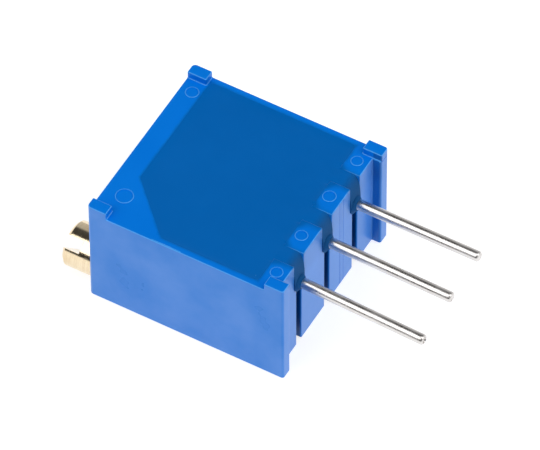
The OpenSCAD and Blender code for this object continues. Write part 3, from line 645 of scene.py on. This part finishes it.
def epoxy_level(x, y):
    """Height of the cured surface: flat, creeping up walls, falling over the wires."""
    level = rim_z - 0.022
    level += 0.012 * noise.noise(Vector((x * 0.45, y * 0.45, 3.1)))
    level += 0.004 * noise.noise(Vector((x * 1.7, y * 1.7, 7.7)))
    off = abs((y + 1.5 * wire_pitch) % wire_pitch - wire_pitch / 2)
    corner = (x - pool_x0 + y + pool_side - pool_corner_cut) / math.sqrt(2)
    wall = min(x - pool_x0, y + pool_side, pool_side - y, corner)
    if x > pool_x1 - 0.6 and off < notch_radius + 0.25 and abs(y) < wire_pitch * 1.4:
        wall = min(wall, max(pool_x1 - x, off - notch_radius + 0.25, 0) + 0.12)
    else:
        wall = min(wall, pool_x1 - x)
    level += 0.024 * math.exp(-max(wall, 0) / 0.13)
    # the nose: a quarter round that rolls over from the pool to the wall's face
    run = (x - (nose_x - 0.38)) / 0.38
    if run > 0:
        run = min(run, 1.0)
        across = min(off / notch_radius, 1.0)
        roll = 1 - math.sqrt(max(1 - run ** 2.6, 0.0))
        dish = 0.05 * math.sin(math.pi * run) * (1 - across ** 2)
        level -= roll * (level + 0.15) * (1 - 0.10 * across ** 3) + dish
    return level


epoxy = bmesh.new()
columns = [pool_x0 - 0.05 + 0.12 * k for k in range(60)]
columns = [x for x in columns if x < pool_x1 - 0.42]
columns += [pool_x1 - 0.42 + 0.035 * k for k in range(60)]
columns = [x for x in columns if x < nose_x - 0.16]
columns += [nose_x - 0.16 + 0.016 * k for k in range(11)]
rows = [-pool_side - 0.05 + 0.05 * k for k in range(int((2 * pool_side + 0.1) / 0.05) + 1)]
rows.append(pool_side + 0.05)
surface = [[epoxy.verts.new((x, y, epoxy_level(x, y))) for y in rows] for x in columns]
for one, two in zip(surface, surface[1:]):
    for k in range(len(rows) - 1):
        epoxy.faces.new((one[k], two[k], two[k + 1], one[k + 1]))
rim_loop = ([line[0] for line in surface] + surface[-1][1:]
            + [line[-1] for line in surface[-2::-1]] + surface[0][-2:0:-1])
foot = [epoxy.verts.new((v.co.x, v.co.y, -0.9)) for v in rim_loop]
for i in range(len(rim_loop)):
    j = (i + 1) % len(rim_loop)
    epoxy.faces.new((rim_loop[j], rim_loop[i], foot[i], foot[j]))
epoxy.faces.new(foot)
bmesh.ops.recalc_face_normals(epoxy, faces=epoxy.faces)
potting = blank("potting", epoxy)

grow = 0.03
mould = blank("mould", prism(outline([
    (x + math.copysign(grow, x - wheel_x), y + math.copysign(grow, y), r)
    for x, y, r in pool_plan]), plate_high.z, 2.5))
for terminal in (-1, 0, 1):
    notch = [((notch_radius + 0.01) * math.cos(math.pi * (1 + k / 24)),
              (notch_radius + 0.01) * math.sin(math.pi * (1 + k / 24))) for k in range(25)]
    notch = [(notch_radius + 0.03, rim_z + 0.02), (-notch_radius - 0.03, rim_z + 0.02)] + notch
    combine(mould, along_x([(y + terminal * wire_pitch, z) for y, z in notch],
                           pool_x1 - 0.2, nose_x), "UNION")
pour = potting.modifiers.new("pour", "BOOLEAN")
pour.solver, pour.operation, pour.object = "EXACT", "INTERSECT", mould
settle(potting)
bpy.data.objects.remove(mould)
# how far each lead lies off its place in height, at the wall and at its cut end
lead_lie = {1: (0.08, -0.19), 2: (0.17, 0.03), 3: (0.16, 0.17)}
for terminal in (-1, 0, 1):
    bead = [(wall_x - 0.3, 0.40), (nose_x - 0.01, 0.415), (nose_x + 0.02, 0.405),
            (nose_x + 0.06, 0.375), (nose_x + 0.10, 0.340), (nose_x + 0.14, 0.305),
            (nose_x + 0.17, 0.276), (bead_x, 0.250)]
    combine(potting, turned(bead, (0, terminal * wire_pitch, lead_lie[terminal + 2][0] * 0.6)),
            "UNION")

epoxy_finish = bpy.data.materials.new("epoxy")
epoxy_finish.use_nodes = True
tree = epoxy_finish.node_tree
shader = tree.nodes["Principled BSDF"]
shader.inputs["Specular IOR Level"].default_value = 0.25
shader.inputs["Specular Tint"].default_value = (0.05, 0.5, 1.0, 1)
finish = chain(tree, "ShaderNodeGroup", {"node_tree": skin}, Cloud_Size=3.0,
               Grain_Size=0.09, Grain_Depth=0.0009, Speck_Size=0.035)
tone = mixed(tree, finish.outputs["Cloud"], (0.0, 0.122, 0.455, 1), (0.0, 0.138, 0.51, 1))
# where it is thin over the wires it goes dull and grey
place = chain(tree, "ShaderNodeTexCoord").outputs["Object"]
split = chain(tree, "ShaderNodeSeparateXYZ", _0=place)
thin = ramp(tree, split.outputs["X"], (pool_x1 + 0.45) * mm, (wall_x + 0.02) * mm, 0.0, 0.95,
            smooth=True)
greyed = mixed(tree, thin, tone, (0.01, 0.078, 0.235, 1))
dusty = mixed(tree, finish.outputs["Speck"], greyed, (0.1, 0.3, 0.62, 1))
tree.links.new(dusty, shader.inputs["Base Color"])
gloss = ramp(tree, finish.outputs["Cloud"], 0.3, 0.7, 0.36, 0.48)
dulled = sums(tree, "MULTIPLY_ADD", thin, 0.42, gloss)
tree.links.new(dulled, shader.inputs["Roughness"])
tree.links.new(finish.outputs["Normal"], shader.inputs["Normal"])
finished(potting, "epoxy_potting", "case", ["potting_compound"], epoxy_finish,
         smooth=50, weighted=False)

# ---------------------------------------------------------------------------
# Terminals. Three leads of tinned copper wire, drawn, nipped to length and bent
# down into the ceramic, each pinched flat where the epoxy has to hold it.
# ---------------------------------------------------------------------------
wire_low, wire_high = (Vector(corner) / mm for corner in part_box("terminal_2"))
wire_end, wire_foot = wire_high.x, wire_low.z
wire_drop_x = wire_low.x + wire_radius
bend = 0.40


def drawn_wire(seed):
    """One lead at the origin's row place, from its nipped end to its tail."""
    random.seed(seed)
    lean = [random.uniform(-0.006, 0.006) for _ in range(4)]
    stations = [(wire_end, 0.60), (wire_end, 0.66), (wire_end - 0.012, 0.78),
                (wire_end - 0.040, 0.90), (wire_end - 0.080, 0.975), (wire_end - 0.12, 1.0)]
    stations += [(wire_end - 0.12 - 0.16 * k, 1.0) for k in range(1, 37)]
    rings = []
    for x, scale in stations:
        if x < bead_x - 0.02:
            break
        away = (x - bead_x) / (wire_end - bead_x)
        sway = Vector((0, lean[0] * math.sin(2.3 * away), lean[1] * math.sin(2.9 * away)))
        sway += Vector((0, 0.0012 * noise.noise(Vector((x * 1.3, seed, 0))),
                        0.0012 * noise.noise(Vector((x * 1.3, 9, seed)))))
        sway.z += lead_lie[seed][0] + (lead_lie[seed][1] - lead_lie[seed][0]) * away
        rings.append((Vector((x, 0, 0)) + sway, Vector((1, 0, 0)), scale, scale))
    for k in range(16):
        x = bead_x - 0.03 - (bead_x - 0.03 - wire_drop_x - bend) * k / 15
        pinch = 1 / (1 + math.exp(-(bead_x - 0.10 - x) / 0.03)) / \
            (1 + math.exp(-(x - bead_x + 0.80) / 0.03))
        lift = lead_lie[seed][0] * (1 - k / 15) ** 2
        rings.append((Vector((x, 0, lift)), Vector((1, 0, 0)),
                      1 + 0.215 * pinch, 1 - 0.215 * pinch))
    for k in range(1, 11):
        a = math.pi / 2 * k / 10
        centre = Vector((wire_drop_x + bend - bend * math.sin(a), 0, -bend + bend * math.cos(a)))
        rings.append((centre, Vector((math.cos(a), 0, math.sin(a))), 1, 1))
    for k, scale in ((1, 1.0), (2, 0.93), (3, 0.7)):
        z = wire_foot + 0.04 * (3 - k) / 2
        rings.append((Vector((wire_drop_x, 0, z)), Vector((0, 0, 1)), scale, scale))
    bm = bmesh.new()
    loops = []
    for centre, way, wide, high in rings:
        up = Vector((-way.z, 0, way.x))
        loops.append([bm.verts.new(centre + Vector((0, 1, 0)) * (wire_radius * wide * math.cos(a))
                                   + up * (wire_radius * high * math.sin(a)))
                      for a in (2 * math.pi * k / 36 for k in range(36))])
    # the nippers leave a low ridge across the cut end
    for v in loops[0]:
        v.co.x -= 0.05 * abs(v.co.z) / wire_radius
    ridge = bm.verts.new((wire_end - 0.004, 0, 0))
    for k in range(36):
        bm.faces.new((loops[0][k], loops[0][(k + 1) % 36], ridge))
    bm.faces.new(loops[-1])
    for one, two in zip(loops, loops[1:]):
        for k in range(36):
            j = (k + 1) % 36
            bm.faces.new((one[k], one[j], two[j], two[k]))
    bmesh.ops.remove_doubles(bm, verts=bm.verts, dist=1e-6)
    bmesh.ops.recalc_face_normals(bm, faces=bm.faces)
    return bm


# Metal that was drawn or turned shows fine lines along or round its axis, which is X.
lines, lines_in, lines_out = node_group(
    "tool_lines",
    [("Along Size", "NodeSocketFloat", 1.0), ("Round Size", "NodeSocketFloat", 0.05),
     ("Depth", "NodeSocketFloat", 0.001)],
    [("Line", "NodeSocketFloat"), ("Stain", "NodeSocketFloat"), ("Normal", "NodeSocketVector")])
lines_mm = chain(lines, "ShaderNodeVectorMath", {"operation": "SCALE"},
                 _0=chain(lines, "ShaderNodeTexCoord").outputs["Object"], Scale=1000.0)
lines_xyz = chain(lines, "ShaderNodeSeparateXYZ", _0=lines_mm.outputs[0])
lines_x = sums(lines, "DIVIDE", lines_xyz.outputs["X"], lines_in.outputs["Along Size"])
lines_y = sums(lines, "DIVIDE", lines_xyz.outputs["Y"], lines_in.outputs["Round Size"])
lines_z = sums(lines, "DIVIDE", lines_xyz.outputs["Z"], lines_in.outputs["Round Size"])
lines_at = chain(lines, "ShaderNodeCombineXYZ", _0=lines_x, _1=lines_y, _2=lines_z)
line = chain(lines, "ShaderNodeTexNoise", Vector=lines_at.outputs[0], Scale=1.0, Detail=4.0,
             Roughness=0.6)
stain = chain(lines, "ShaderNodeTexNoise", Vector=lines_mm.outputs[0], Scale=1.6, Detail=3.0)
lines_m = sums(lines, "MULTIPLY", lines_in.outputs["Depth"], mm)
lines_bump = chain(lines, "ShaderNodeBump", Height=line.outputs["Fac"], Distance=lines_m,
                   Strength=1.0)
lines.links.new(line.outputs["Fac"], lines_out.inputs["Line"])
lines.links.new(stain.outputs["Fac"], lines_out.inputs["Stain"])
lines.links.new(lines_bump.outputs[0], lines_out.inputs["Normal"])


def metal(name, bright, dull, smooth, rough, along, around, depth):
    """A metal with tool lines and faint stains, between two colours and two roughnesses."""
    material = bpy.data.materials.new(name)
    material.use_nodes = True
    tree = material.node_tree
    shader = tree.nodes["Principled BSDF"]
    shader.inputs["Metallic"].default_value = 1.0
    marks = chain(tree, "ShaderNodeGroup", {"node_tree": lines}, Along_Size=along,
                  Round_Size=around, Depth=depth)
    both = sums(tree, "MULTIPLY", marks.outputs["Line"], marks.outputs["Stain"])
    worn = ramp(tree, both, 0.14, 0.38)
    colour = mixed(tree, worn, dull, bright)
    tree.links.new(colour, shader.inputs["Base Color"])
    gloss = ramp(tree, marks.outputs["Stain"], 0.3, 0.7, smooth, rough)
    tree.links.new(gloss, shader.inputs["Roughness"])
    tree.links.new(marks.outputs["Normal"], shader.inputs["Normal"])
    return material


tin_finish = metal("tinned_wire", (0.80, 0.78, 0.765, 1), (0.66, 0.63, 0.61, 1), 0.24, 0.34,
                   1.6, 0.035, 0.0016)
for number, row_y_mm in ((1, -wire_pitch), (2, 0.0), (3, wire_pitch)):
    lead = drawn_wire(number)
    bmesh.ops.translate(lead, verts=lead.verts, vec=(0, row_y_mm, 0))
    finished(blank("lead", lead), "tinned_lead_%d" % number, "case", ["terminal_%d" % number],
             tin_finish, smooth=50, weighted=False)

# ---------------------------------------------------------------------------
# Adjustment screw. Brass turned in one piece: slotted head, seal groove, neck for
# the retainer, collar, worm and end journal. The slot is sawn.
# ---------------------------------------------------------------------------
head_radius = 1.10
head_x = screw_low.x
slot_width, slot_depth = 0.62, 0.85
slot_angle = math.radians(-50)
groove_x, groove_length, groove_radius = -9.58, 0.50, 0.68
neck_x, neck_end, neck_radius = -8.83, -8.34, 0.55
worm_length, worm_radius, worm_root = 4.70, 0.86, 0.47
worm_x1 = wheel_x + worm_length / 2
teeth = 30
worm_lead = 2 * math.pi * 3.25 / teeth

screw = blank("screw", turned([
    (head_x, head_radius - 0.155), (head_x + 0.012, head_radius - 0.128),
    (head_x + 0.128, head_radius - 0.012), (head_x + 0.155, head_radius),
    (groove_x - 0.03, head_radius), (groove_x, head_radius - 0.03),
    (groove_x, groove_radius + 0.03), (groove_x + 0.03, groove_radius),
    (groove_x + groove_length - 0.03, groove_radius),
    (groove_x + groove_length, groove_radius + 0.03),
    (groove_x + groove_length, head_radius - 0.03),
    (groove_x + groove_length + 0.03, head_radius), (neck_x - 0.03, head_radius),
    (neck_x, head_radius - 0.03), (neck_x, neck_radius), (neck_end, neck_radius),
    (neck_end, worm_radius - 0.03), (neck_end + 0.03, worm_radius),
    (neck_end + 0.32, worm_radius), (neck_end + 0.35, worm_radius - 0.03),
    (neck_end + 0.35, worm_root), (worm_x1, worm_root), (worm_x1, 0.45),
    (worm_x1 + 1.04, 0.45), (worm_x1 + 1.10, 0.39)], (0, screw_y, screw_z), segments=96))
saw = box((head_x - 0.5, -2, -slot_width / 2), (head_x + slot_depth, 2, slot_width / 2))
bmesh.ops.rotate(saw, verts=saw.verts, cent=(0, 0, 0), matrix=Matrix.Rotation(slot_angle, 3, "X"))
bmesh.ops.translate(saw, verts=saw.verts, vec=(0, screw_y, screw_z))
combine(screw, saw)
soften(screw, 0.014, 2, 30)
brass_finish = metal("turned_brass", (0.90, 0.775, 0.56, 1), (0.80, 0.64, 0.42, 1), 0.11, 0.20,
                     0.05, 0.8, 0.0014)
finished(screw, "brass_screw", "screw", ["adjustment_screw"], brass_finish, smooth=35)

# the worm: a trapezoid ridge that runs out at both ends of the threaded length
turns = worm_length / worm_lead - 0.6
steps = 40
thread = bmesh.new()
last = None
for k in range(int(turns * steps) + 1):
    t = k / steps
    a = 2 * math.pi * (t - turns / 2)
    fade_out = max(0.05, min(1, 2 * t, 2 * (turns - t)))
    tip = worm_root + (worm_radius - worm_root) * fade_out
    x = (t - turns / 2) * worm_lead + wheel_x
    ring = []
    for radius, way in ((0.42, -1), (tip - 0.02, -1), (tip, -0.8), (tip, 0.8), (tip - 0.02, 1),
                        (0.42, 1)):
        half = 0.42 * worm_lead / 2 - (radius - 0.70) * math.tan(math.radians(20))
        ring.append(thread.verts.new((x + way * half, screw_y + radius * math.cos(a),
                                      screw_z + radius * math.sin(a))))
    if last:
        for j in range(6):
            thread.faces.new((last[j], last[(j + 1) % 6], ring[(j + 1) % 6], ring[j]))
    else:
        thread.faces.new(ring)
    last = ring
thread.faces.new(last)
bmesh.ops.recalc_face_normals(thread, faces=thread.faces)
finished(blank("worm", thread), "brass_worm_thread", "screw", [], brass_finish, smooth=35)

# ---------------------------------------------------------------------------
# Shaft seal and retainer. A moulded silicone ring in the screw's groove keeps
# washing fluid out, and a forked spring steel plate astride the neck holds it.
# ---------------------------------------------------------------------------
# Fired, moulded and pressed small parts share a mottle, a grain and fine pits.
body_grain, body_in, body_out = node_group(
    "fine_body",
    [("Mottle Size", "NodeSocketFloat", 0.6), ("Grain Size", "NodeSocketFloat", 0.03),
     ("Depth", "NodeSocketFloat", 0.002)],
    [("Mottle", "NodeSocketFloat"), ("Grain", "NodeSocketFloat"), ("Normal", "NodeSocketVector")])
body_mm = chain(body_grain, "ShaderNodeVectorMath", {"operation": "SCALE"},
                _0=chain(body_grain, "ShaderNodeTexCoord").outputs["Object"], Scale=1000.0)
mottle_at = chain(body_grain, "ShaderNodeVectorMath", {"operation": "DIVIDE"},
                  _0=body_mm.outputs[0], _1=body_in.outputs["Mottle Size"])
mottle = chain(body_grain, "ShaderNodeTexNoise", Vector=mottle_at.outputs[0], Scale=1.0,
               Detail=3.0)
pit_at = chain(body_grain, "ShaderNodeVectorMath", {"operation": "DIVIDE"},
               _0=body_mm.outputs[0], _1=body_in.outputs["Grain Size"])
pit = chain(body_grain, "ShaderNodeTexVoronoi", Vector=pit_at.outputs[0], Scale=1.0)
body_m = sums(body_grain, "MULTIPLY", body_in.outputs["Depth"], mm)
body_bump = chain(body_grain, "ShaderNodeBump", Height=pit.outputs["Distance"], Distance=body_m,
                  Strength=1.0)
body_grain.links.new(mottle.outputs["Fac"], body_out.inputs["Mottle"])
body_grain.links.new(pit.outputs["Distance"], body_out.inputs["Grain"])
body_grain.links.new(body_bump.outputs[0], body_out.inputs["Normal"])


def grained(name, light, dark, smooth, rough, mottle_size, grain_size, depth, metallic=0.0):
    """A solid-coloured stuff with a mottle, a fine grain and pits between two shades."""
    material = bpy.data.materials.new(name)
    material.use_nodes = True
    tree = material.node_tree
    shader = tree.nodes["Principled BSDF"]
    shader.inputs["Metallic"].default_value = metallic
    stuff = chain(tree, "ShaderNodeGroup", {"node_tree": body_grain}, Mottle_Size=mottle_size,
                  Grain_Size=grain_size, Depth=depth)
    spread = ramp(tree, stuff.outputs["Mottle"], 0.3, 0.7)
    base = mixed(tree, spread, dark, light)
    pitted = ramp(tree, stuff.outputs["Grain"], 0.0, 0.5, 0.25, 0.0)
    colour = mixed(tree, pitted, base, dark)
    tree.links.new(colour, shader.inputs["Base Color"])
    gloss = ramp(tree, stuff.outputs["Mottle"], 0.3, 0.7, smooth, rough)
    tree.links.new(gloss, shader.inputs["Roughness"])
    tree.links.new(stuff.outputs["Normal"], shader.inputs["Normal"])
    return material


def dress(node, material):
    """Gives a CAD node its finish."""
    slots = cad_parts[node].data.materials
    slots.clear()
    slots.append(material)


dress("shaft_seal", grained("silicone_rubber", (0.56, 0.13, 0.035, 1), (0.42, 0.085, 0.02, 1),
                            0.45, 0.60, 0.5, 0.03, 0.002))
dress("screw_retainer", metal("spring_steel", (0.62, 0.62, 0.63, 1), (0.40, 0.40, 0.41, 1),
                              0.22, 0.38, 0.9, 0.04, 0.0012))

# ---------------------------------------------------------------------------
# Ceramic plate and its frame of sealant. A fired alumina plate closes the works
# from above, bedded on the case's ledge in a thin bead of cured sealant.
# ---------------------------------------------------------------------------
dress("ceramic_plate", grained("alumina", (0.86, 0.85, 0.80, 1), (0.78, 0.76, 0.70, 1),
                               0.50, 0.70, 1.2, 0.02, 0.0015))
dress("sealing_frame", grained("sealant", (0.62, 0.60, 0.50, 1), (0.50, 0.48, 0.39, 1),
                               0.35, 0.55, 0.8, 0.05, 0.003))

# ---------------------------------------------------------------------------
# Printed films. Screened and fired under the plate: a black cermet horseshoe for
# the resistance, and silver for the collector ring, the end pads and the lands.
# ---------------------------------------------------------------------------
dress("resistance_track", grained("cermet", (0.035, 0.035, 0.04, 1), (0.014, 0.014, 0.016, 1),
                                  0.32, 0.50, 0.25, 0.015, 0.002))
silver_finish = grained("silver_film", (0.80, 0.79, 0.76, 1), (0.62, 0.60, 0.56, 1),
                        0.34, 0.50, 0.35, 0.02, 0.002, metallic=1.0)
for film in ("collector_track", "end_pad_1", "end_pad_3"):
    dress(film, silver_finish)

# ---------------------------------------------------------------------------
# Solder joints. Tin solder that filled each hole of the plate and ran out on the
# printed land below, dull where it froze.
# ---------------------------------------------------------------------------
solder_finish = grained("solder", (0.70, 0.70, 0.70, 1), (0.50, 0.50, 0.51, 1),
                        0.22, 0.42, 0.22, 0.04, 0.003, metallic=1.0)
for number in (1, 2, 3):
    dress("solder_joint_%d" % number, solder_finish)

# ---------------------------------------------------------------------------
# Rotor. A natural nylon worm wheel drives, through a slipping clutch, a black
# nylon carrier whose stakes hold the precious-metal spring wiper.
# ---------------------------------------------------------------------------
dress("worm_wheel", grained("nylon", (0.80, 0.77, 0.66, 1), (0.70, 0.66, 0.54, 1),
                            0.38, 0.52, 0.9, 0.05, 0.002))
dress("wiper_carrier", grained("black_nylon", (0.030, 0.030, 0.033, 1),
                               (0.018, 0.018, 0.020, 1), 0.36, 0.50, 0.9, 0.05, 0.002))
dress("wiper_contact", metal("contact_alloy", (0.90, 0.74, 0.42, 1), (0.72, 0.56, 0.30, 1),
                             0.18, 0.30, 0.8, 0.03, 0.001))
